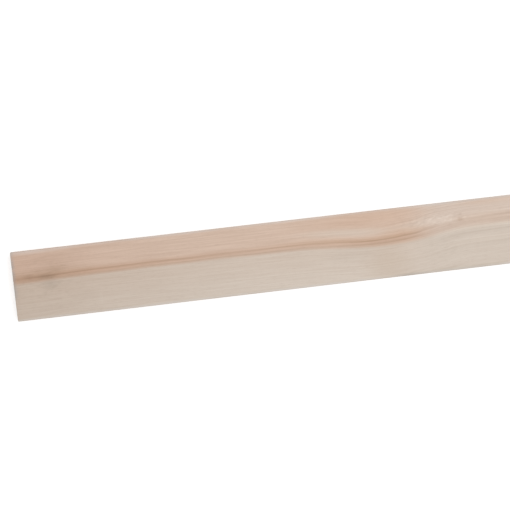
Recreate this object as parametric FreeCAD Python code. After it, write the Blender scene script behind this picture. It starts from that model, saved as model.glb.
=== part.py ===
import FreeCAD, Part
import math
import os

# Plain architrave, a flat-faced timber moulding that trims the joint between a door lining and
# the wall. One length of planed stock, lying on its flat back with the show face up.
# X runs along the grain, Y across the face and Z from the back to the face, in millimetres.
# The origin is the middle of the back, which is the side that goes against the wall.

# Driving dimensions
stock_length = 2100.0  # sold length, one leg beside a standard door
face_width = 69.0  # finished width, planed from a 75 mm sawn board
stock_thickness = 20.5  # finished thickness, planed from a 25 mm sawn board
outer_arris_radius = 3.0  # pencil round on the edge away from the door
inner_arris_radius = 3.0  # pencil round on the edge beside the door lining
back_arris_radius = 0.8  # the planer only breaks the two back corners


def corner_arc(centre_y, centre_z, radius, start_degrees):
    """Quarter-round edge in the section plane, counter-clockwise from the start angle."""
    points = []
    for step in (0, 45, 90):
        angle = math.radians(start_degrees + step)
        y = centre_y + radius * math.cos(angle)
        z = centre_z + radius * math.sin(angle)
        points.append(FreeCAD.Vector(0, y, z))
    return Part.Arc(*points).toShape()


def section_wire():
    """Closed outline of the moulding's section: four flats joined by four tangent quarter rounds."""
    half_width = face_width / 2
    corners = [
        # centre y, centre z, radius, start angle
        (-half_width + inner_arris_radius, stock_thickness - inner_arris_radius, inner_arris_radius, 90),
        (-half_width + back_arris_radius, back_arris_radius, back_arris_radius, 180),
        (half_width - back_arris_radius, back_arris_radius, back_arris_radius, 270),
        (half_width - outer_arris_radius, stock_thickness - outer_arris_radius, outer_arris_radius, 0),
    ]
    arcs = [corner_arc(*corner) for corner in corners]
    edges = []
    for arc, following in zip(arcs, arcs[1:] + arcs[:1]):
        edges.append(arc)
        edges.append(Part.LineSegment(arc.lastVertex().Point, following.firstVertex().Point).toShape())
    return Part.Wire(edges)


def architrave():
    """The section run from one square-sawn end to the other."""
    section = Part.Face(section_wire())
    section.translate(FreeCAD.Vector(-stock_length / 2, 0, 0))
    return section.extrude(FreeCAD.Vector(stock_length, 0, 0))


def main():
    os.makedirs("parts", exist_ok=True)
    board = architrave()
    board.exportStep("parts/architrave.step")
    print("architrave valid:", board.isValid(), "volume cm3:", round(board.Volume / 1000, 1))


main()
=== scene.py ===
import bpy
import bmesh
import math
from mathutils import Euler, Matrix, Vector, noise


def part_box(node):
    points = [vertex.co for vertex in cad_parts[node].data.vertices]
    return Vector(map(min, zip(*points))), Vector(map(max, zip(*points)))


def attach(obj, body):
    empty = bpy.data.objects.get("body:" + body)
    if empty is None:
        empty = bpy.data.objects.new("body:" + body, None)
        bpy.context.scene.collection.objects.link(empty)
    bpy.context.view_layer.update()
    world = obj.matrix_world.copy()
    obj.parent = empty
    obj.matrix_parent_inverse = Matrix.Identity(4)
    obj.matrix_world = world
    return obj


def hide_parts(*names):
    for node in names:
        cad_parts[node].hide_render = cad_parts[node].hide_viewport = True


# Plain architrave: one length of planed timber on its flat back, seen from above at its foot end.
# Metres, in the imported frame: X runs along the grain from the foot end, Y across the face towards
# the wall edge, and Z from the back up to the face. The wood's own measures are in millimetres.

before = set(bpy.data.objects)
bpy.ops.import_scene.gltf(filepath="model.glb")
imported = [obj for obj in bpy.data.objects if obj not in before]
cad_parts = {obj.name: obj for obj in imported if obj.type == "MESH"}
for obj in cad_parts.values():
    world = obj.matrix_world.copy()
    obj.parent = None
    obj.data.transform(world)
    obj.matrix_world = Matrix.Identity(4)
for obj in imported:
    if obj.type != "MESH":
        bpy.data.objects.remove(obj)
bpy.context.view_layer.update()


# Camera

viewpoint = {
    "place": Vector((-0.8663, 0.0215, 1.2159)),
    "turn": (-0.528, -2.764, -6.637),  # degrees about X, Y and Z
    "lens": 85,
    "sensor": 36,
    "clip": (0.01, 60),
}


def addCamera():
    lens = bpy.data.cameras.new("photoView")
    lens.lens = viewpoint["lens"]
    lens.sensor_width = viewpoint["sensor"]
    lens.clip_start, lens.clip_end = viewpoint["clip"]
    camera = bpy.data.objects.new("photoView", lens)
    camera.location = viewpoint["place"]
    camera.rotation_euler = Euler([math.radians(angle) for angle in viewpoint["turn"]])
    bpy.context.scene.collection.objects.link(camera)
    bpy.context.scene.camera = camera


addCamera()
print("camera placed above the foot end")


# The board

board = {
    "low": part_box("architrave")[0],
    "high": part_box("architrave")[1],
    "faceArris": 0.003,  # pencil round on both edges of the face
    "backArris": 0.0008,  # the planer only breaks the back corners
    "arrisWander": 0.06,  # share by which a round grows and shrinks along the length
    "slowWaves": (7, 31.7, 0),  # that wander's steps per metre and from edge to edge, and its seed
    "quickWaves": (23, 11.3, 5),
    "quickShare": 0.5,
    "sectionGap": 0.006,  # spacing of the cross sections along the board
    "closeSections": [0, 0.00035, 0.0009, 0.002, 0.004],  # places of the first ones from each end
    "faceSteps": 26,  # how many small flats each stretch of the section is made of
    "sideSteps": 4,
    "faceArrisSteps": 8,
    "backArrisSteps": 4,
    "endRows": 8,
    "sharpAngle": 50,  # degrees past which two faces meet in a sharp edge
    "sawnArris": 0.00022,  # how far the saw's break takes an end's corners back
    "sawnWander": 0.00012,  # unevenness of that break
    "sawnWaves": 420,  # and its steps per metre
    "sawnSeed": 9,
    "sawnShares": [1.0, 0.28, 0.06],  # how much of it the first sections beside the end keep
    "tearOut": 0.0007,  # fibres torn from the back corner where the saw came out
    "tearWaves": 230,
    "tearSeed": (3.1, 5),
    "tearLeast": 0.12,  # the noise has to rise past this before anything tears
    "sawRipple": 0.00006,  # unevenness of the sawn end itself
    "rippleAcross": 160,
    "rippleSlant": 700,
    "rippleUp": 60,
    "rippleSeed": 4,
    "rippleLift": 0.6,  # more of this leaves less of the end flat
}


def halfRun(width, level, middle, radius, arcSteps):
    # from the middle of one side round its corner to where the flat starts
    up = 1 if level > middle else -1
    shoulder = level - up * radius
    rise = (shoulder - middle) / board["sideSteps"]
    points = [(width, middle + rise * step) for step in range(board["sideSteps"])]
    for step in range(arcSteps + 1):
        angle = math.pi / 2 * step / arcSteps
        points.append((width - radius + radius * math.cos(angle), shoulder + up * radius * math.sin(angle)))
    return points


def wholeRun(level, radii, arcSteps, flatSteps):
    # from the middle of the lining edge over one flat to the middle of the wall edge
    halfWidth = board["high"].y
    middle = board["high"].z / 2
    lining = [(-y, z) for y, z in halfRun(halfWidth, level, middle, radii[0], arcSteps)]
    wall = halfRun(halfWidth, level, middle, radii[1], arcSteps)
    start = lining[-1][0]
    end = wall[-1][0]
    flat = [(start + (end - start) * step / flatSteps, level) for step in range(1, flatSteps)]
    return lining + flat + wall[::-1]


def arrisNoise(x, side, waves):
    return noise.noise(Vector((x * waves[0], side * waves[1], waves[2])))


def outlineAt(x):
    # closed outline of the section, from the middle of the back round by the wall edge
    radii = []
    for side in (0, 1):
        slow = arrisNoise(x, side, board["slowWaves"])
        quick = arrisNoise(x, side, board["quickWaves"])
        radii.append(board["faceArris"] * (1 + board["arrisWander"] * (slow + board["quickShare"] * quick)))
    # the back's flat has more steps, so that both runs have the same number of points
    backSteps = board["faceSteps"] + 2 * (board["faceArrisSteps"] - board["backArrisSteps"])
    top = wholeRun(board["high"].z, radii, board["faceArrisSteps"], board["faceSteps"])
    back = wholeRun(board["low"].z, [board["backArris"]] * 2, board["backArrisSteps"], backSteps)
    half = len(back) // 2
    return back[half:-1] + top[:0:-1] + back[:half]


def sectionPlaces():
    low = board["low"].x
    high = board["high"].x
    close = board["closeSections"]
    count = round((high - low - 2 * close[-1]) / board["sectionGap"])
    gap = (high - low - 2 * close[-1]) / count
    between = [low + close[-1] + gap * step for step in range(1, count)]
    return [low + step for step in close] + between + [high - step for step in close[::-1]]


def brokenCorner(point, endward, share):
    # pulls an end's corner in, unevenly, as the saw leaves it
    y, z = point
    middle = board["high"].z / 2
    waves = board["sawnWaves"]
    ragged = noise.noise(Vector((y * waves, z * waves, endward * board["sawnSeed"])))
    pull = board["sawnArris"] + board["sawnWander"] * ragged
    if z < middle:
        seed = board["tearSeed"]
        torn = noise.noise(Vector((y * board["tearWaves"], seed[0], endward * seed[1])))
        pull += board["tearOut"] * max(0.0, torn - board["tearLeast"])
    reach = board["high"].y - middle
    inner = Vector((max(-reach, min(reach, y)), middle))
    here = Vector((y, z))
    return here + (inner - here).normalized() * pull * share


# How the board's surface is laid out on one square map: the long sides in two strips, one for each
# half of the length, and the two ends side by side above them.

layout = {
    "strips": 2,
    "stripShare": 0.87,
    "stripGap": 0.012,
    "side": 0.006,
    "footLeft": 0.01,
    "headLeft": 0.51,
    "endWidth": 0.48,
    "endTop": 0.988,
}


def stripPlace(x, around, strip):
    middle = (board["low"].x + board["high"].x) / 2
    start = board["low"].x if strip == 0 else middle
    u = layout["side"] + (1 - 2 * layout["side"]) * (x - start) / (middle - board["low"].x)
    pitch = layout["stripShare"] / layout["strips"]
    return u, pitch * strip + layout["stripGap"] / 2 + (pitch - layout["stripGap"]) * around


def endPlace(y, z, atFoot):
    left = layout["footLeft"] if atFoot else layout["headLeft"]
    bottom = layout["stripShare"] + layout["stripGap"]
    u = left + layout["endWidth"] * (y / board["high"].y + 1) / 2
    return u, bottom + (layout["endTop"] - bottom) * z / board["high"].z


def addSides(mesh, rings, places, around, bakeMap):
    count = len(rings[0])
    half = len(places) // 2
    for index in range(len(rings) - 1):
        strip = 0 if index < half else 1
        for side in range(count):
            after = (side + 1) % count
            here = rings[index]
            beyond = rings[index + 1]
            corners = [here[after], beyond[after], beyond[side], here[side]]
            spots = [(index, side + 1), (index + 1, side + 1), (index + 1, side), (index, side)]
            face = mesh.faces.new(corners)
            face.smooth = True
            for loop, (place, part) in zip(face.loops, spots):
                loop[bakeMap].uv = stripPlace(places[place], around[part], strip)


def addEnd(mesh, ring, x, atFoot, bakeMap):
    # a grid of faces between the top run and the back run of the end's outline
    runLength = len(ring) // 2 + 1
    half = runLength // 2
    backRun = [ring[index - half] for index in range(runLength)]
    topRun = [ring[half + runLength - 1 - index] for index in range(runLength)]
    inwards = 1 if atFoot else -1
    rows = board["endRows"]
    columns = []
    for under, over in zip(backRun, topRun):
        if under is over:
            columns.append([under] * (rows + 1))
            continue
        column = [under]
        for row in range(1, rows):
            spot = under.co.lerp(over.co, row / rows)
            slant = spot.y * board["rippleAcross"] + spot.z * board["rippleSlant"]
            up = spot.z * board["rippleUp"]
            ripple = noise.noise(Vector((slant, up, inwards * board["rippleSeed"])))
            spot.x = x + inwards * board["sawRipple"] * max(0.0, ripple + board["rippleLift"])
            column.append(mesh.verts.new(spot))
        columns.append(column + [over])
    for first, second in zip(columns, columns[1:]):
        for row in range(rows):
            quad = (first[row], second[row], second[row + 1], first[row + 1])
            corners = list(dict.fromkeys(quad))
            if len(corners) < 3:
                continue
            face = mesh.faces.new(corners)
            face.material_index = 1
            face.smooth = True
            for loop in face.loops:
                loop[bakeMap].uv = endPlace(loop.vert.co.y, loop.vert.co.z, atFoot)


def buildBoard(finishes):
    mesh = bmesh.new()
    bakeMap = mesh.loops.layers.uv.new("OFBake")
    places = sectionPlaces()
    last = len(places) - 1
    rings = []
    for index, x in enumerate(places):
        outline = outlineAt(x)
        fromEnd = min(index, last - index)
        if fromEnd < len(board["sawnShares"]):
            endward = -1 if index < last / 2 else 1
            outline = [brokenCorner(point, endward, board["sawnShares"][fromEnd]) for point in outline]
        rings.append([mesh.verts.new((x, y, z)) for y, z in outline])
    middleOutline = [Vector(point) for point in outlineAt(0)]
    travel = [0.0]
    for here, after in zip(middleOutline, middleOutline[1:] + middleOutline[:1]):
        travel.append(travel[-1] + (after - here).length)
    addSides(mesh, rings, places, [part / travel[-1] for part in travel], bakeMap)
    addEnd(mesh, rings[0], places[0], True, bakeMap)
    addEnd(mesh, rings[last], places[last], False, bakeMap)
    bmesh.ops.recalc_face_normals(mesh, faces=mesh.faces)
    data = bpy.data.meshes.new("architrave_board")
    mesh.to_mesh(data)
    mesh.free()
    data.set_sharp_from_angle(angle=math.radians(board["sharpAngle"]))
    for finish in finishes:
        data.materials.append(finish)
    piece = bpy.data.objects.new("architrave_board", data)
    bpy.context.scene.collection.objects.link(piece)
    return piece


# Shader helpers

nodeGrid = {"across": 180, "down": 220, "perRow": 12}  # how the nodes are laid out in their editor


def linearColour(code):
    # "#rrggbb" as linear red, green, blue and a full alpha
    parts = [int(code[start:start + 2], 16) / 255 for start in (1, 3, 5)]
    linear = [part / 12.92 if part <= 0.04045 else ((part + 0.055) / 1.055) ** 2.4 for part in parts]
    return (*linear, 1)


def fill(tree, node, inputs):
    # each input takes a value or a wire from another node's socket
    for key, value in inputs.items():
        if isinstance(value, bpy.types.NodeSocket):
            tree.links.new(value, node.inputs[key])
        else:
            node.inputs[key].default_value = value


def addNode(tree, kind, inputs=None, **settings):
    node = tree.nodes.new("ShaderNode" + kind)
    for setting, value in settings.items():
        setattr(node, setting, value)
    fill(tree, node, inputs or {})
    row, column = divmod(len(tree.nodes), nodeGrid["perRow"])
    node.location = (nodeGrid["across"] * column, -nodeGrid["down"] * row)
    return node


def calc(tree, operation, *values):
    return addNode(tree, "Math", dict(enumerate(values)), operation=operation).outputs[0]


def smoothStep(tree, value, start, end, low=0.0, high=1.0):
    inputs = {"Value": value, "From Min": start, "From Max": end, "To Min": low, "To Max": high}
    return addNode(tree, "MapRange", inputs, interpolation_type="SMOOTHSTEP").outputs[0]


def bell(tree, value, centre, reach):
    # 1 at the centre, falling off on both sides
    offset = calc(tree, "DIVIDE", calc(tree, "SUBTRACT", value, centre), reach)
    return calc(tree, "EXPONENT", calc(tree, "MULTIPLY", calc(tree, "MULTIPLY", offset, offset), -1))


def mixNumber(tree, amount, first, second):
    return addNode(tree, "Mix", {0: amount, 2: first, 3: second}).outputs[0]


def mixColour(tree, amount, first, second, blend="MIX"):
    node = addNode(tree, "Mix", {0: amount, 6: first, 7: second}, data_type="RGBA", blend_type=blend)
    return node.outputs[2]


def tint(tree, amount, colour, code, share=1.0, blend="MIX"):
    # lays a written colour over the wood, as far as the mask and its share say
    return mixColour(tree, calc(tree, "MULTIPLY", amount, share), colour, linearColour(code), blend)


def vectorOf(tree, x, y, z=0.0):
    return addNode(tree, "CombineXYZ", {0: x, 1: y, 2: z}).outputs[0]


def softNoise(tree, vector, detail=2.0, roughness=0.5):
    inputs = {"Vector": vector, "Scale": 1.0, "Detail": detail, "Roughness": roughness}
    return addNode(tree, "TexNoise", inputs).outputs[0]


def lineNoise(tree, value, way):
    # noise along one direction only, with features about one length long
    place = calc(tree, "MULTIPLY_ADD", value, 1 / way["length"], way["seed"])
    inputs = {"W": place, "Scale": 1.0, "Detail": way.get("detail", 2.0), "Roughness": 0.5}
    return addNode(tree, "TexNoise", inputs, noise_dimensions="1D").outputs[0]


def spreadNoise(tree, value, way):
    # the same noise, spread out between its lowest and its highest share
    return smoothStep(tree, lineNoise(tree, value, way), *way["range"], *way["share"])


def swayNoise(tree, value, way):
    # the same noise as a sway to both sides
    return calc(tree, "MULTIPLY", calc(tree, "SUBTRACT", lineNoise(tree, value, way), 0.5), way["by"])


def newGroup(name, inputs, outputs):
    # inputs are socket names with a type and a default, and outputs are socket names
    tree = bpy.data.node_groups.new(name, "ShaderNodeTree")
    for label, (kind, value) in inputs.items():
        socket = tree.interface.new_socket(label, in_out="INPUT", socket_type="NodeSocket" + kind)
        socket.default_value = value
    for label in outputs:
        tree.interface.new_socket(label, in_out="OUTPUT", socket_type="NodeSocketFloat")
    return tree, tree.nodes.new("NodeGroupInput").outputs


def endGroup(tree, results):
    fill(tree, tree.nodes.new("NodeGroupOutput"), results)
    print("made shader group", tree.name)
    return tree


def useGroup(tree, group, inputs):
    node = addNode(tree, "Group", node_tree=group)
    fill(tree, node, inputs)
    return node.outputs


# How the wood grew. The board is cut from one log, so its rings run on through face, edges and
# ends. Lengths are in millimetres: along from the foot end, across from the wall edge.

log = {
    "pithAcross": 75.0,  # the pith's Y, out beyond the wall edge
    "pithHeight": -20.0,  # and its Z, below the back
    # A hidden knot bends the grain away from the wall edge and then towards it for good: how far
    # each ring lies past its straight place, at points along the board. The rings on the wall side
    # turn back at once, and those on the lining side later and more slowly.
    "early": [(0, 2.0), (40, 1.0), (62, 0.6), (110, 0.15), (230, 0), (290, 0.25), (316, 1.4), (340, 3.3),
              (358, 4.25), (376, 3.7), (388, 2.5), (401, 1.6), (412, -1.6), (424, -3.9), (448, -6.7),
              (465, -7.6), (600, -7.6)],
    "late": [(0, 2.0), (40, 1.0), (62, 0.5), (110, 0), (210, 0), (256, 0.4), (292, 0.9), (316, 2.2),
             (332, 3.35), (352, 4.1), (364, 4.35), (388, 3.1), (400, 2.1), (412, 0.6), (424, -1.4),
             (436, -3.5), (448, -4.9), (465, -5.9), (600, -5.9)],
    "bendRange": 20,  # the bends stay within half of this to either side
    "earlyTo": 25.0,  # rings up to here from the wall edge follow the early bends,
    "lateFrom": 31.0,  # and those past here the late ones
    "wallShare": 0.5,  # share of the bending left at the wall edge
    "wallReach": 14,  # and how far in from that edge all of it is there
    "unseenFrom": 500,  # past here the grain wanders by itself
    "unseenBy": 620,
    "slowWander": {"length": 390, "seed": 4.2, "detail": 0.7, "by": 27},
    "fineWander": {"length": 38, "seed": 9.1, "by": 0.7},
    "heartEdge": 29.6,  # where the heartwood ends
    "heartBlur": 3.0,
    "runOut": 2.8,  # the heartwood reaches this much further out at the knot and past it
    "runOutFrom": 270,
    "runOutBy": 450,
    "firstLine": 25.8,
    "secondLine": 29.1,
    "lineReach": 0.8,
    "bandFrom": (20.6, 26.0),  # the warm band round the two lines starts slowly
    "bandTo": (32.3, 29.3),  # and ends sharply
    # how strong the warm band and its two dark lines are along the board
    "strength": [
        {"along": 0, "band": 0.20, "lines": (0.12, 0.04)},
        {"along": 70, "band": 0.235, "lines": (0.26, 0.08)},
        {"along": 120, "band": 0.225, "lines": (0.22, 0.10)},
        {"along": 180, "band": 0.20, "lines": (0.20, 0.12)},
        {"along": 240, "band": 0.16, "lines": (0.20, 0.14)},
        {"along": 300, "band": 0.155, "lines": (0.19, 0.12)},
        {"along": 330, "band": 0.17, "lines": (0.24, 0.20)},
        {"along": 358, "band": 0.23, "lines": (0.36, 0.23)},
        {"along": 390, "band": 0.22, "lines": (0.35, 0.25)},
        {"along": 402, "band": 0.20, "lines": (0.30, 0.20)},
        {"along": 411, "band": 0.15, "lines": (0.08, 0.08)},
        {"along": 430, "band": 0.08, "lines": (0.03, 0.04)},
        {"along": 480, "band": 0.12, "lines": (0.13, 0.09)},
        {"along": 600, "band": 0.12, "lines": (0.14, 0.10)},
    ],
    "unseenStrength": {"length": 240, "seed": 1.7, "range": (0.3, 0.72), "share": (0.3, 1.9)},
    "ringSpacing": 4.6,
    "ringUneven": {"length": 9, "seed": 3.3},
    "ringUnevenBy": 1.9,
    "ringShowing": {"length": 6.5, "seed": 7.9, "range": (0.35, 0.65), "share": (0.15, 1.0)},
    "ringSharpness": 3.0,
    # rings of the sapwood that only show past the knot
    "sapDark": [{"at": 38.7, "reach": 2.0, "height": 1.0}, {"at": 51.4, "reach": 2.2, "height": 0.6}],
    "sapPale": [{"at": 33.6, "reach": 2.2, "height": 1.0}, {"at": 46.0, "reach": 3.6, "height": 0.4}],
    "sapRingsFrom": 395,
    "sapRingsBy": 455,
}


toMillimetres = 1000


def boardPlaceGroup():
    tree, given = newGroup(
        "Board Place",
        {
            "Position": ("Vector", (0, 0, 0)),
            "Foot End": ("Float", board["low"].x),
            "Half Width": ("Float", board["high"].y),
            "Thickness": ("Float", board["high"].z),
            "Pith Across": ("Float", log["pithAcross"]),
            "Pith Height": ("Float", log["pithHeight"]),
        },
        ["Along", "Across", "Depth", "Turn", "Radius"],
    )
    split = addNode(tree, "SeparateXYZ", {0: given["Position"]}).outputs
    along = calc(tree, "MULTIPLY", calc(tree, "SUBTRACT", split[0], given["Foot End"]), toMillimetres)
    depth = calc(tree, "MULTIPLY", calc(tree, "SUBTRACT", given["Thickness"], split[2]), toMillimetres)
    thickness = calc(tree, "MULTIPLY", given["Thickness"], toMillimetres)
    faceHeight = calc(tree, "SUBTRACT", thickness, given["Pith Height"])
    pithY = calc(tree, "MULTIPLY_ADD", split[1], -toMillimetres, given["Pith Across"])
    pithZ = calc(tree, "SUBTRACT", faceHeight, depth)
    squares = calc(tree, "MULTIPLY_ADD", pithY, pithY, calc(tree, "MULTIPLY", pithZ, pithZ))
    # where the ring through this point comes out on the face
    surfaced = calc(tree, "SUBTRACT", squares, calc(tree, "MULTIPLY", faceHeight, faceHeight))
    surfaced = calc(tree, "SQRT", calc(tree, "MAXIMUM", surfaced, 1.0))
    edgeToPith = calc(tree, "MULTIPLY_ADD", given["Half Width"], -toMillimetres, given["Pith Across"])
    return endGroup(tree, {
        "Along": along,
        "Across": calc(tree, "SUBTRACT", surfaced, edgeToPith),
        "Depth": depth,
        "Turn": calc(tree, "ARCTAN2", pithZ, pithY),
        "Radius": calc(tree, "SQRT", squares),
    })


def grainSweepGroup():
    # gives each point the place that its ring would have in a straight-grained board
    tree, given = newGroup(
        "Grain Sweep",
        {"Along": ("Float", 0.0), "Across": ("Float", 0.0)},
        ["Ring Place", "Unseen"],
    )
    along = given["Along"]

    def bend(points):
        length = points[-1][0]
        node = addNode(tree, "FloatCurve", {"Value": calc(tree, "DIVIDE", along, length)})
        curve = node.mapping.curves[0]
        spots = [(place / length, 0.5 + move / log["bendRange"]) for place, move in points]
        curve.points[0].location = spots[0]
        curve.points[1].location = spots[-1]
        for spot in spots[1:-1]:
            curve.points.new(*spot)
        node.mapping.update()
        return calc(tree, "MULTIPLY", calc(tree, "SUBTRACT", node.outputs[0], 0.5), log["bendRange"])

    early = bend(log["early"])
    straight = calc(tree, "SUBTRACT", given["Across"], early)
    passed = smoothStep(tree, straight, log["earlyTo"], log["lateFrom"])
    knot = mixNumber(tree, passed, early, bend(log["late"]))
    unseen = smoothStep(tree, along, log["unseenFrom"], log["unseenBy"])
    slow = calc(tree, "MULTIPLY", swayNoise(tree, along, log["slowWander"]), unseen)
    loose = calc(tree, "ADD", slow, swayNoise(tree, along, log["fineWander"]))
    share = smoothStep(tree, given["Across"], 0, log["wallReach"], log["wallShare"], 1)
    moved = calc(tree, "MULTIPLY", calc(tree, "ADD", knot, loose), share)
    return endGroup(tree, {"Ring Place": calc(tree, "SUBTRACT", given["Across"], moved), "Unseen": unseen})


def growthLinesGroup():
    # heartwood, the warm band with two dark lines at its edge, the faint yearly rings, and those
    # that show in the sapwood past the knot
    tree, given = newGroup(
        "Growth Lines",
        {
            "Ring Place": ("Float", 0.0),
            "Along": ("Float", 0.0),
            "Unseen": ("Float", 0.0),
            "First Line": ("Float", log["firstLine"]),
            "Second Line": ("Float", log["secondLine"]),
            "Ring Spacing": ("Float", log["ringSpacing"]),
        },
        ["Heart", "Warm Band", "Dark Lines", "Rings", "Sap Dark", "Sap Pale"],
    )
    ring = given["Ring Place"]
    along = given["Along"]
    reachedOut = smoothStep(tree, along, log["runOutFrom"], log["runOutBy"], 0, log["runOut"])
    outer = calc(tree, "SUBTRACT", ring, reachedOut)
    lastHeart = log["heartEdge"] + log["heartBlur"]
    heart = smoothStep(tree, outer, lastHeart, log["heartEdge"] - log["heartBlur"])

    # one colour ramp holds the three strengths as its red, green and blue
    last = log["strength"][-1]
    stops = addNode(tree, "ValToRGB", {0: calc(tree, "DIVIDE", along, last["along"])})
    ramp = stops.color_ramp
    for index, stop in enumerate(log["strength"]):
        mark = ramp.elements[index] if index < 2 else ramp.elements.new(1.0)
        mark.position = stop["along"] / last["along"]
        mark.color = (stop["band"], *stop["lines"], 1)
    known = addNode(tree, "SeparateColor", {0: stops.outputs[0]}).outputs
    loose = spreadNoise(tree, along, log["unseenStrength"])
    usual = (last["band"], *last["lines"])
    shares = [
        mixNumber(tree, given["Unseen"], known[index], calc(tree, "MULTIPLY", loose, usual[index]))
        for index in range(3)
    ]
    risen = smoothStep(tree, ring, *log["bandFrom"])
    band = calc(tree, "MULTIPLY", risen, smoothStep(tree, outer, *log["bandTo"]))
    first = calc(tree, "MULTIPLY", bell(tree, ring, given["First Line"], log["lineReach"]), shares[1])
    second = calc(tree, "MULTIPLY", bell(tree, ring, given["Second Line"], log["lineReach"]), shares[2])

    # yearly rings: each darkens slowly and ends sharply, and only some of them show
    uneven = calc(tree, "MULTIPLY", lineNoise(tree, ring, log["ringUneven"]), log["ringUnevenBy"])
    count = calc(tree, "ADD", calc(tree, "DIVIDE", ring, given["Ring Spacing"]), uneven)
    sharp = calc(tree, "POWER", calc(tree, "FRACT", count), log["ringSharpness"])
    rings = calc(tree, "MULTIPLY", sharp, spreadNoise(tree, ring, log["ringShowing"]))

    pastKnot = smoothStep(tree, along, log["sapRingsFrom"], log["sapRingsBy"])

    def sapRings(rows):
        total = 0.0
        for row in rows:
            line = bell(tree, ring, row["at"], row["reach"])
            total = calc(tree, "MULTIPLY_ADD", line, row["height"], total)
        return calc(tree, "MULTIPLY", total, pastKnot)

    return endGroup(tree, {
        "Heart": heart,
        "Warm Band": calc(tree, "MULTIPLY", band, shares[0]),
        "Dark Lines": calc(tree, "ADD", first, second),
        "Rings": rings,
        "Sap Dark": sapRings(log["sapDark"]),
        "Sap Pale": sapRings(log["sapPale"]),
    })


# Fine textures that the finishes share. A range is the part of the noise that shows.

texture = {
    "streakDetail": 4.0,
    "streakRoughness": 0.6,
    "poreFiner": (9, 4, 4),  # how many times shorter and narrower a pore is than a streak
    "poreDetail": 1.0,
    "poreRange": (0.58, 0.68),
    "patchFade": (1.15, 0.1),  # a soft patch fades in between these shares of its half size
    "raggedLength": 7,
    "raggedWidth": 1.8,
    "fleckDetail": 1.0,
    "fleckRange": (0.48, 0.66),
    "rimWaves": (40, 170, 170),  # steps per metre along, across and up
    "rimRange": (0.25, 0.75),
    "rimShare": (0.6, 1.4),
}


def fibreStreaksGroup():
    tree, given = newGroup(
        "Fibre Streaks",
        {
            "Along": ("Float", 0.0),
            "Across": ("Float", 0.0),
            "Depth": ("Float", 0.0),
            "Streak Length": ("Float", 60.0),
            "Streak Width": ("Float", 1.3),
        },
        ["Streak", "Pores"],
    )
    x = calc(tree, "DIVIDE", given["Along"], given["Streak Length"])
    y = calc(tree, "DIVIDE", given["Across"], given["Streak Width"])
    z = calc(tree, "DIVIDE", given["Depth"], given["Streak Width"])
    spot = vectorOf(tree, x, y, z)
    streak = softNoise(tree, spot, texture["streakDetail"], texture["streakRoughness"])
    finer = addNode(tree, "VectorMath", {0: spot, 1: texture["poreFiner"]}, operation="MULTIPLY")
    pores = softNoise(tree, finer.outputs[0], texture["poreDetail"])
    return endGroup(tree, {"Streak": streak, "Pores": smoothStep(tree, pores, *texture["poreRange"])})


def softPatchGroup():
    # an oval patch with ragged edges, drawn out along the grain
    tree, given = newGroup(
        "Soft Patch",
        {
            "Along": ("Float", 0.0),
            "Across": ("Float", 0.0),
            "Centre Along": ("Float", 0.0),
            "Centre Across": ("Float", 0.0),
            "Half Length": ("Float", 10.0),
            "Half Width": ("Float", 4.0),
            "Ragged": ("Float", 0.4),
        },
        ["Mask"],
    )
    x = calc(tree, "SUBTRACT", given["Along"], given["Centre Along"])
    x = calc(tree, "DIVIDE", x, given["Half Length"])
    y = calc(tree, "SUBTRACT", given["Across"], given["Centre Across"])
    y = calc(tree, "DIVIDE", y, given["Half Width"])
    distance = calc(tree, "SQRT", calc(tree, "MULTIPLY_ADD", x, x, calc(tree, "MULTIPLY", y, y)))
    raggedX = calc(tree, "DIVIDE", given["Along"], texture["raggedLength"])
    raggedY = calc(tree, "DIVIDE", given["Across"], texture["raggedWidth"])
    ragged = calc(tree, "SUBTRACT", softNoise(tree, vectorOf(tree, raggedX, raggedY)), 0.5)
    distance = calc(tree, "MULTIPLY_ADD", ragged, given["Ragged"], distance)
    return endGroup(tree, {"Mask": smoothStep(tree, distance, *texture["patchFade"])})


def shortFlecksGroup():
    # fine mottling, as where the grain turns round a knot
    tree, given = newGroup(
        "Short Flecks",
        {
            "Along": ("Float", 0.0),
            "Across": ("Float", 0.0),
            "Fleck Length": ("Float", 3.0),
            "Fleck Width": ("Float", 1.5),
        },
        ["Flecks"],
    )
    x = calc(tree, "DIVIDE", given["Along"], given["Fleck Length"])
    y = calc(tree, "DIVIDE", given["Across"], given["Fleck Width"])
    spread = softNoise(tree, vectorOf(tree, x, y), texture["fleckDetail"])
    return endGroup(tree, {"Flecks": smoothStep(tree, spread, *texture["fleckRange"])})


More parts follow.
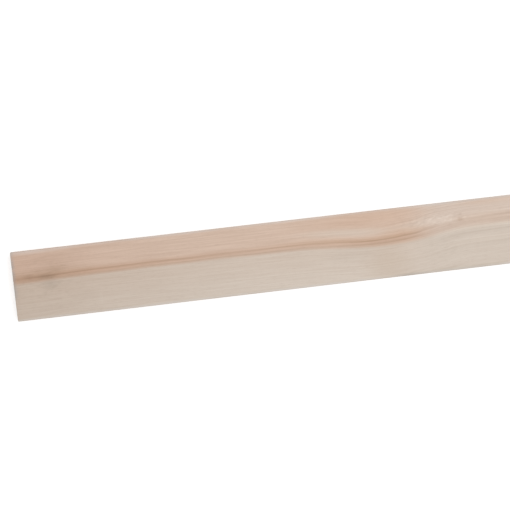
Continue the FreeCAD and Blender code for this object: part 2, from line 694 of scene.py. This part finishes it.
def edgeRimsGroup():
    # the long arrises and the corners round the sawn ends, a little ragged
    tree, given = newGroup(
        "Edge Rims",
        {
            "Position": ("Vector", (0, 0, 0)),
            "Middle": ("Vector", (0, 0, 0)),
            "Half Size": ("Vector", (1, 1, 1)),
            "Face Reach": ("Float", 0.003),
            "Back Reach": ("Float", 0.0012),
            "End Reach": ("Float", 0.0045),
        },
        ["Long Edges", "End Edges"],
    )
    offset = addNode(tree, "VectorMath", {0: given["Position"], 1: given["Middle"]}, operation="SUBTRACT")
    away = addNode(tree, "VectorMath", {0: offset.outputs[0]}, operation="ABSOLUTE")
    inward = addNode(tree, "VectorMath", {0: given["Half Size"], 1: away.outputs[0]}, operation="SUBTRACT")
    depths = addNode(tree, "SeparateXYZ", {0: inward.outputs[0]}).outputs
    height = addNode(tree, "SeparateXYZ", {0: offset.outputs[0]}).outputs[2]
    upper = calc(tree, "GREATER_THAN", height, 0)
    reach = mixNumber(tree, upper, given["Back Reach"], given["Face Reach"])
    nearEnd = smoothStep(tree, depths[0], given["End Reach"], 0.0)
    nearSide = smoothStep(tree, depths[1], reach, 0.0)
    nearFace = smoothStep(tree, depths[2], reach, 0.0)
    scaled = {0: given["Position"], 1: texture["rimWaves"]}
    drawnOut = addNode(tree, "VectorMath", scaled, operation="MULTIPLY").outputs[0]
    ragged = smoothStep(tree, softNoise(tree, drawnOut), *texture["rimRange"], *texture["rimShare"])
    longEdges = calc(tree, "MULTIPLY", nearSide, nearFace)
    endEdges = calc(tree, "MULTIPLY", nearEnd, calc(tree, "MAXIMUM", nearSide, nearFace))
    return endGroup(tree, {
        "Long Edges": calc(tree, "MULTIPLY", longEdges, ragged),
        "End Edges": calc(tree, "MULTIPLY", endEdges, ragged),
    })


groups = {
    "place": boardPlaceGroup(),
    "sweep": grainSweepGroup(),
    "lines": growthLinesGroup(),
    "fibre": fibreStreaksGroup(),
    "patch": softPatchGroup(),
    "flecks": shortFlecksGroup(),
    "rims": edgeRimsGroup(),
}


# Finishes. The timber's colours are as they look in plain daylight, past the foot end. Towards the foot end
# they are darkened by painted shade, together with some darkening of the wood itself.

wood = {
    "heart": "#D6BDAB",
    "paleHeart": "#D6C4B6",  # past the knot
    "paleFrom": 385,
    "paleBy": 428,
    "paleSpread": 4,  # and this much sooner and later for each millimetre below the face
    "innerSap": "#D2C3B5",
    "outerSap": "#D4C7BA",
    "outerFrom": 36,
    "outerBy": 64,
    "farSap": "#D1C4B7",  # past the knot
    "warmBand": "#A86A22",
    "darkLine": "#7A5A3C",
    "sapPale": "#E6DACB",
    "sapPaleShare": 0.25,
    "sapDark": "#8F7E6A",
    "sapDarkShare": 0.1,
    "ring": "#A98468",
    "fibre": "#9A7C66",
    "streakLength": 60,
    "streakWidth": 1.3,
    "streakRange": (0.33, 0.67),
    "heartStreaks": 0.2,
    "sapStreaks": 0.13,
    "pore": "#8A6C56",
    "poreShare": 0.12,
    "roughness": 0.62,
    "specular": 0.3,
    "backReach": 0.0012,  # how far in from a back corner the wood is rubbed pale, in metres
    "endReach": 0.0045,  # and how far in from an end its corners are drawn darker on the planed sides and paler on the sawn ends
}
planed = {
    "ringShare": 0.05,
    "bump": 0.35,
    "bumpDepth": 0.0001,
    "ringRelief": 0.4,
    "fibreRelief": 0.6,
    "poreRelief": -0.5,
    "polish": (-0.06, 0.08),  # how far single fibres go below and above the wood's roughness
    "polishRange": (0.3, 0.7),
    "footShadeHeart": "#F7EEE9",  # painted shade towards the foot end, with some darkening of the wood, in heartwood and in sapwood
    "footShadeSap": "#F2EDE9",
    "footShadeFrom": 270,
    "footShadeBy": -60,
    # the long arrises drawn paler: a painted highlight on the face rounds, together with rubbed wood
    "paleEdge": "#E4E0DC",
    "paleEdgeShare": 0.5,
    "darkEndRim": "#A19F9E",
    "darkEndRimShare": 0.48,
    "darkEndRimFrom": 52,  # the end's corners are darker from the wall edge to about here
    "darkEndRimBy": 40,
    "darkEndRimRest": 0.15,  # and less beyond it
    "markDepth": (4, 1),  # depths at which the face's marks are gone, and are still whole
    "ragged": 0.4,
    # stains, figure, painted shade and a painted highlight on the face: middle (along, across), half length
    # and half width, colour and share. One that follows lies across by its ring, so it bends with the
    # grain.
    "marks": {
        # the foot end
        # a painted highlight along the wall-side arris near the foot end
        "footArrisHighlight": {"at": (20, 2), "half": (46, 3.2), "colour": "#DECFC5", "share": 0.42},
        "brownEdge": {"at": (30, 23.8), "half": (86, 5.5), "colour": "#8C6A3C", "share": 0.16},
        "brownFoot": {"at": (8, 27.9), "half": (54, 3.5), "colour": "#7A5E43", "share": 0.14},
        "brownUnder": {"at": (30, 29.4), "half": (58, 2.6), "colour": "#6F6A52", "share": 0.06},
        "brownSpot": {"at": (16.5, 26.4), "half": (6.5, 3.0), "colour": "#6E5238", "share": 0.2},
        "brownStreak": {"at": (33, 27.3), "half": (13, 3.4), "colour": "#66543C", "share": 0.29},
        "brownSmudge": {"at": (43, 18.5), "half": (13, 9.5), "colour": "#8C6E48", "share": 0.07},
        "brownCore": {"at": (42, 22.8), "half": (10, 3.4), "colour": "#7A5E43", "share": 0.1},
        "footShadow": {"at": (42, 13), "half": (30, 15), "colour": "#8A6A50", "share": 0.07},
        "greySmudge": {"at": (36, 35.8), "half": (12, 7), "colour": "#7F776C", "share": 0.17},
        "greyFleck": {"at": (30, 46), "half": (13, 4), "colour": "#7F776C", "share": 0.03},
        "greyPatch": {"at": (70, 50), "half": (18, 6), "colour": "#7F776C", "share": 0.035},
        "paleNick": {"at": (84, 55), "half": (2.6, 7), "colour": "#E6DDD2", "share": 0.06},
        "footFlecks": {"at": (34, 34), "half": (46, 36), "colour": "#93806C", "share": 0.10,
                       "flecks": (7.0, 2.7)},
        # where the grain dips before the knot
        "orangeHeart": {"at": (349, 7.5), "half": (84, 12), "colour": "#CAA78E", "share": 0.34},
        "orangeTurn": {"at": (374, 19.5), "half": (22, 5), "colour": "#CFA88C", "share": 0.16},
        "goldenSide": {"at": (325, 24.4), "half": (85, 3.4), "colour": "#BC8F55", "share": 0.08,
                       "follows": True},
        "warmSide": {"at": (388, 22.2), "half": (34, 5), "colour": "#B98A5A", "share": 0.14,
                     "follows": True},
        "paleBand": {"at": (335, 16.7), "half": (66, 5.4), "colour": "#D5CBBE", "share": 0.38,
                     "follows": True},
        "sapBand": {"at": (372, 55), "half": (30, 26), "colour": "#BBA58F", "share": 0.3},
        "shadeUnder": {"at": (334, 42), "half": (36, 12), "colour": "#857B70", "share": 0.07},
        # the pale figure over the knot
        "creamLead": {"at": (400, 19.6), "half": (24, 4.4), "colour": "#DCCDBE", "share": 0.2},
        "creamFigure": {"at": (425, 17.2), "half": (27, 5.8), "colour": "#DECDBF", "share": 0.55},
        "figurePale": {"at": (428, 16.4), "half": (35, 7), "colour": "#F2E6DA", "share": 0.24,
                       "flecks": (5.2, 2.6)},
        "figureDark": {"at": (410, 15.0), "half": (44, 12), "colour": "#A08A78", "share": 0.15,
                       "flecks": (6.6, 2.9)},
        "figureSap": {"at": (428, 47), "half": (36, 14), "colour": "#A39482", "share": 0.11,
                      "flecks": (7.5, 1.9)},
        "speckFirst": {"at": (399, 20.3), "half": (2.6, 1.6), "colour": "#8A6B52", "share": 0.1},
        "speckPale": {"at": (412.5, 18.2), "half": (2.4, 1.4), "colour": "#8A6B52", "share": 0.11},
        "speckWall": {"at": (448.6, 13.6), "half": (2.8, 2.0), "colour": "#8A6B52", "share": 0.15},
        "speckLining": {"at": (448.2, 18.4), "half": (3.6, 2.8), "colour": "#8F6540", "share": 0.25},
        # past the knot
        "warmRim": {"at": (478, 3), "half": (44, 5), "colour": "#CFB099", "share": 0.3},
        "paleRun": {"at": (466, 17.5), "half": (36, 7), "colour": "#F0DCC8", "share": 0.1},
        # along the edges
        "shadedRim": {"at": (462, 0.5), "half": (60, 2.4), "colour": "#8A7D70", "share": 0.07},
        "shadedEdge": {"at": (393, 68.3), "half": (20, 2.6), "colour": "#857B70", "share": 0.26},
        "shadedRun": {"at": (440, 68.8), "half": (80, 5.5), "colour": "#8C7A60", "share": 0.15},
    },
}
sawn = {
    "ringShare": 0.5,
    "openGrain": "#7C6350",  # the fibres' open ends look darker
    "openGrainShare": (0.30, 0.48),  # least and most of it, as the rays run out from the pith
    "rayRange": (0.3, 0.7),
    "rayTurns": 90,
    "rayLength": 9,
    "rayDetail": 3.0,
    "rayRoughness": 0.6,
    "scoreAcross": 900,  # the saw's fine slanting scores, in steps per metre
    "scoreSlant": 260,
    "scoreUp": 60,
    "scoreDetail": 3.0,
    "bump": 0.6,
    "bumpDepth": 0.0002,
    "roughness": 0.8,
    "paleEdge": "#CDBDAD",
    "paleEdgeShare": 0.35,
}


def newMaterial(name):
    material = bpy.data.materials.new(name)
    material.use_nodes = True
    tree = material.node_tree
    tree.nodes.clear()
    shader = addNode(tree, "BsdfPrincipled", {"Specular IOR Level": wood["specular"]})
    addNode(tree, "OutputMaterial", {"Surface": shader.outputs[0]})
    return material, tree, shader


def addBump(tree, shader, finish, height):
    inputs = {"Strength": finish["bump"], "Distance": finish["bumpDepth"], "Height": height}
    fill(tree, shader, {"Normal": addNode(tree, "Bump", inputs).outputs[0]})


def woodColour(tree, position, ringShare):
    # the timber's own colour right through the board, with the masks that the finishes need
    placed = useGroup(tree, groups["place"], {
        "Position": position,
        "Foot End": board["low"].x,
        "Half Width": board["high"].y,
        "Thickness": board["high"].z,
        "Pith Across": log["pithAcross"],
        "Pith Height": log["pithHeight"],
    })
    swept = useGroup(tree, groups["sweep"], {"Along": placed["Along"], "Across": placed["Across"]})
    lines = useGroup(tree, groups["lines"], {
        "Ring Place": swept["Ring Place"],
        "Along": placed["Along"],
        "Unseen": swept["Unseen"],
        "First Line": log["firstLine"],
        "Second Line": log["secondLine"],
        "Ring Spacing": log["ringSpacing"],
    })
    fibre = useGroup(tree, groups["fibre"], {
        "Along": placed["Along"],
        "Across": swept["Ring Place"],
        "Depth": placed["Depth"],
        "Streak Length": wood["streakLength"],
        "Streak Width": wood["streakWidth"],
    })
    spread = calc(tree, "MULTIPLY", placed["Depth"], wood["paleSpread"])
    sooner = calc(tree, "SUBTRACT", wood["paleFrom"], spread)
    pale = smoothStep(tree, placed["Along"], sooner, calc(tree, "ADD", wood["paleBy"], spread))
    heart = mixColour(tree, pale, linearColour(wood["heart"]), linearColour(wood["paleHeart"]))
    outward = smoothStep(tree, placed["Across"], wood["outerFrom"], wood["outerBy"])
    sap = mixColour(tree, outward, linearColour(wood["innerSap"]), linearColour(wood["outerSap"]))
    sap = tint(tree, pale, sap, wood["farSap"])
    colour = mixColour(tree, lines["Heart"], sap, heart)
    colour = tint(tree, lines["Warm Band"], colour, wood["warmBand"])
    colour = tint(tree, lines["Dark Lines"], colour, wood["darkLine"])
    colour = tint(tree, lines["Sap Pale"], colour, wood["sapPale"], wood["sapPaleShare"])
    colour = tint(tree, lines["Sap Dark"], colour, wood["sapDark"], wood["sapDarkShare"])
    colour = tint(tree, lines["Rings"], colour, wood["ring"], ringShare)
    streaks = mixNumber(tree, lines["Heart"], wood["sapStreaks"], wood["heartStreaks"])
    streaks = calc(tree, "MULTIPLY", smoothStep(tree, fibre["Streak"], *wood["streakRange"]), streaks)
    colour = tint(tree, streaks, colour, wood["fibre"])
    colour = tint(tree, fibre["Pores"], colour, wood["pore"], wood["poreShare"])
    return colour, placed, swept, lines, fibre


def edgeRimsOf(tree, position):
    middle = (board["low"] + board["high"]) / 2
    return useGroup(tree, groups["rims"], {
        "Position": position,
        "Middle": middle,
        "Half Size": board["high"] - middle,
        "Face Reach": board["faceArris"],
        "Back Reach": wood["backReach"],
        "End Reach": wood["endReach"],
    })


def planedTimber():
    material, tree, shader = newMaterial("planedTimber")
    position = addNode(tree, "TexCoord").outputs["Object"]
    colour, placed, swept, lines, fibre = woodColour(tree, position, planed["ringShare"])
    # painted shade falling off towards the foot end, together with some darkening of the wood itself
    foot = smoothStep(tree, placed["Along"], planed["footShadeFrom"], planed["footShadeBy"])
    footShadeHeart = calc(tree, "MULTIPLY", calc(tree, "MULTIPLY", foot, foot), lines["Heart"])
    footShadeSap = calc(tree, "MULTIPLY", foot, calc(tree, "SUBTRACT", 1.0, lines["Heart"]))
    colour = tint(tree, footShadeHeart, colour, planed["footShadeHeart"], blend="MULTIPLY")
    colour = tint(tree, footShadeSap, colour, planed["footShadeSap"], blend="MULTIPLY")
    rims = edgeRimsOf(tree, position)
    # paler long arrises: on the face rounds partly a painted highlight and partly rubbed wood; on the back
    # corners rubbed wood
    colour = tint(tree, rims["Long Edges"], colour, planed["paleEdge"], planed["paleEdgeShare"])
    nearFace = smoothStep(tree, placed["Depth"], *planed["markDepth"])
    for mark in planed["marks"].values():
        patch = useGroup(tree, groups["patch"], {
            "Along": placed["Along"],
            "Across": swept["Ring Place"] if mark.get("follows") else placed["Across"],
            "Centre Along": mark["at"][0],
            "Centre Across": mark["at"][1],
            "Half Length": mark["half"][0],
            "Half Width": mark["half"][1],
            "Ragged": planed["ragged"],
        })
        shown = calc(tree, "MULTIPLY", patch["Mask"], nearFace)
        if "flecks" in mark:
            flecks = useGroup(tree, groups["flecks"], {
                "Along": placed["Along"],
                "Across": swept["Ring Place"],
                "Fleck Length": mark["flecks"][0],
                "Fleck Width": mark["flecks"][1],
            })
            shown = calc(tree, "MULTIPLY", shown, flecks["Flecks"])
        colour = tint(tree, shown, colour, mark["colour"], mark["share"])
    # the ends' corners drawn darker on the planed sides, most near the wall edge
    reach = (planed["darkEndRimFrom"], planed["darkEndRimBy"])
    darkEndRimHere = smoothStep(tree, placed["Across"], *reach, planed["darkEndRimRest"], 1.0)
    darkEndRim = calc(tree, "MULTIPLY", rims["End Edges"], darkEndRimHere)
    colour = tint(tree, darkEndRim, colour, planed["darkEndRim"], planed["darkEndRimShare"])
    limits = [wood["roughness"] + change for change in planed["polish"]]
    rough = smoothStep(tree, fibre["Streak"], *planed["polishRange"], *limits)
    fill(tree, shader, {"Base Color": colour, "Roughness": rough})
    height = calc(tree, "MULTIPLY", fibre["Streak"], planed["fibreRelief"])
    height = calc(tree, "MULTIPLY_ADD", lines["Rings"], planed["ringRelief"], height)
    addBump(tree, shader, planed, calc(tree, "MULTIPLY_ADD", fibre["Pores"], planed["poreRelief"], height))
    return material


def sawnTimber():
    material, tree, shader = newMaterial("sawnTimber")
    position = addNode(tree, "TexCoord").outputs["Object"]
    colour, placed = woodColour(tree, position, sawn["ringShare"])[:2]
    turn = calc(tree, "MULTIPLY", placed["Turn"], sawn["rayTurns"])
    outward = calc(tree, "DIVIDE", placed["Radius"], sawn["rayLength"])
    rays = softNoise(tree, vectorOf(tree, turn, outward), sawn["rayDetail"], sawn["rayRoughness"])
    rays = smoothStep(tree, rays, *sawn["rayRange"], *sawn["openGrainShare"])
    colour = tint(tree, rays, colour, sawn["openGrain"])
    colour = tint(tree, edgeRimsOf(tree, position)["End Edges"], colour, sawn["paleEdge"], sawn["paleEdgeShare"])
    fill(tree, shader, {"Base Color": colour, "Roughness": sawn["roughness"]})
    split = addNode(tree, "SeparateXYZ", {0: position}).outputs
    slant = calc(tree, "MULTIPLY", split[2], sawn["scoreSlant"])
    score = calc(tree, "MULTIPLY_ADD", split[1], sawn["scoreAcross"], slant)
    scores = vectorOf(tree, score, calc(tree, "MULTIPLY", split[2], sawn["scoreUp"]))
    addBump(tree, shader, sawn, softNoise(tree, scores, sawn["scoreDetail"]))
    return material


# The finished board

piece = buildBoard([planedTimber(), sawnTimber()])
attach(piece, "root")
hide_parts("architrave")
print("board built,", len(piece.data.polygons), "faces")


# Floor, light and background

studio = {
    "floorHalf": 7.0,
    "floorDrop": 0.0001,  # keeps the floor just clear of the board's back
    "floorColour": 0.8,
    "floorLift": 0.475,  # white added to the floor where it is seen or mirrored
    "skyLevel": 0.66,
    "lampPower": 17.5,
    "lampPlace": Vector((-0.1, 0.12, 1.95)),  # it points at the middle of the board's back
    "lampSize": (1.8, 1.2),
}


def seenDirectly(tree):
    # 1 for rays that show the background itself or mirror it
    path = addNode(tree, "LightPath").outputs
    seen = calc(tree, "MAXIMUM", path["Is Camera Ray"], path["Is Glossy Ray"])
    return calc(tree, "MAXIMUM", seen, path["Is Transmission Ray"])


def addFloor():
    half = studio["floorHalf"]
    data = bpy.data.meshes.new("paperFloor")
    corners = [(-half, -half, 0), (half, -half, 0), (half, half, 0), (-half, half, 0)]
    data.from_pydata(corners, [], [(0, 1, 2, 3)])
    floor = bpy.data.objects.new("paperFloor", data)
    bpy.context.scene.collection.objects.link(floor)
    floor.location.z = board["low"].z - studio["floorDrop"]
    material = bpy.data.materials.new("whitePaper")
    material.use_nodes = True
    tree = material.node_tree
    tree.nodes.clear()
    grey = studio["floorColour"]
    paper = addNode(tree, "BsdfDiffuse", {"Color": (grey, grey, grey, 1)})
    lift = calc(tree, "MULTIPLY", seenDirectly(tree), studio["floorLift"])
    glow = addNode(tree, "Emission", {"Strength": lift})
    both = addNode(tree, "AddShader", {0: paper.outputs[0], 1: glow.outputs[0]})
    addNode(tree, "OutputMaterial", {"Surface": both.outputs[0]})
    data.materials.append(material)


def addSky():
    world = bpy.data.worlds.new("softRoom")
    world.use_nodes = True
    tree = world.node_tree
    tree.nodes.clear()
    strength = mixNumber(tree, seenDirectly(tree), studio["skyLevel"], 1.0)
    light = addNode(tree, "Background", {"Color": (1, 1, 1, 1), "Strength": strength})
    addNode(tree, "OutputWorld", {"Surface": light.outputs[0]})
    bpy.context.scene.world = world


def addLamp():
    lamp = bpy.data.lights.new("softBox", "AREA")
    lamp.shape = "RECTANGLE"
    lamp.size, lamp.size_y = studio["lampSize"]
    lamp.energy = studio["lampPower"]
    holder = bpy.data.objects.new("softBox", lamp)
    holder.location = studio["lampPlace"]
    holder.rotation_euler = (-studio["lampPlace"]).to_track_quat("-Z", "Y").to_euler()
    bpy.context.scene.collection.objects.link(holder)


addFloor()
addSky()
addLamp()
bpy.context.scene.view_settings.view_transform = "Standard"
print("floor, sky and lamp placed")
